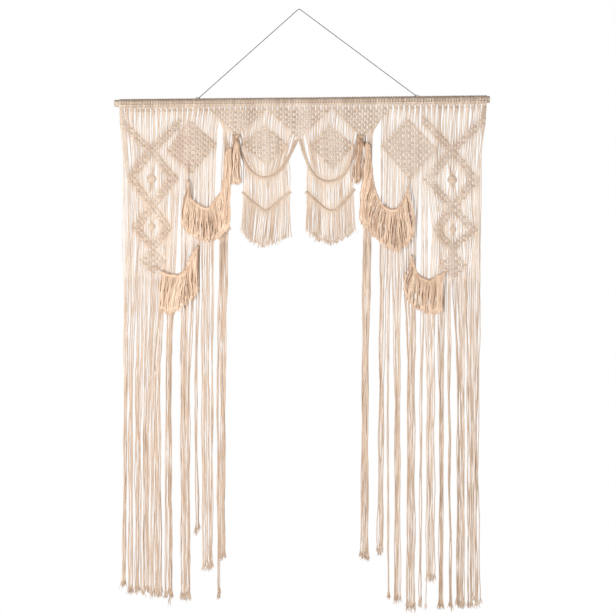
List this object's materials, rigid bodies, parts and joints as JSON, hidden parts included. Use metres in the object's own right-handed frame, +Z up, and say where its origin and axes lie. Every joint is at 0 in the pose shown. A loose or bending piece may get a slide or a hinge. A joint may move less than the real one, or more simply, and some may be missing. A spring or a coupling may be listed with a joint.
{
  "type": "macrame curtain on a wooden rod",
  "caption": "Knotted cotton cord curtain on a wooden rod: net side panels, pointed valance, swags and tassels, and long string fringe at both sides of a clear middle.",
  "frame": {"origin": "underside of the hanging cord at its highest point, where it rests on the hook", "axes": "+Z up, +X along the rod to the right of someone who faces the curtain, -Y towards them; the wall is on the +Y side"},
  "size_m": [1.1992, 0.0454, 1.9225],
  "materials": {
    "rod_wood": "bare, smooth",
    "cotton_cord": "matt",
    "fringe_cotton": "matt",
    "hanging_cord": "matt"
  },
  "bodies": {
    "root": {"rod": "rod_wood", "hanging_cord": "hanging_cord", "tie_left": "hanging_cord", "tie_right": "hanging_cord", "heading_left": "cotton_cord", "heading_middle": "cotton_cord", "heading_right": "cotton_cord", "side_panel_left": "cotton_cord", "side_panel_right": "cotton_cord", "valance": "cotton_cord", "pendant_left": "cotton_cord", "pendant_right": "cotton_cord", "pendant_fringe_left": "cotton_cord", "pendant_fringe_right": "cotton_cord", "inner_swag_left": "fringe_cotton", "inner_swag_right": "fringe_cotton", "outer_swag_left": "fringe_cotton", "outer_swag_right": "fringe_cotton", "tassel_left": "fringe_cotton", "tassel_right": "fringe_cotton", "long_fringe_left_outer": "cotton_cord", "long_fringe_left_inner": "cotton_cord", "long_fringe_right_inner": "cotton_cord", "long_fringe_right_outer": "cotton_cord"}
  },
  "joints": []
}
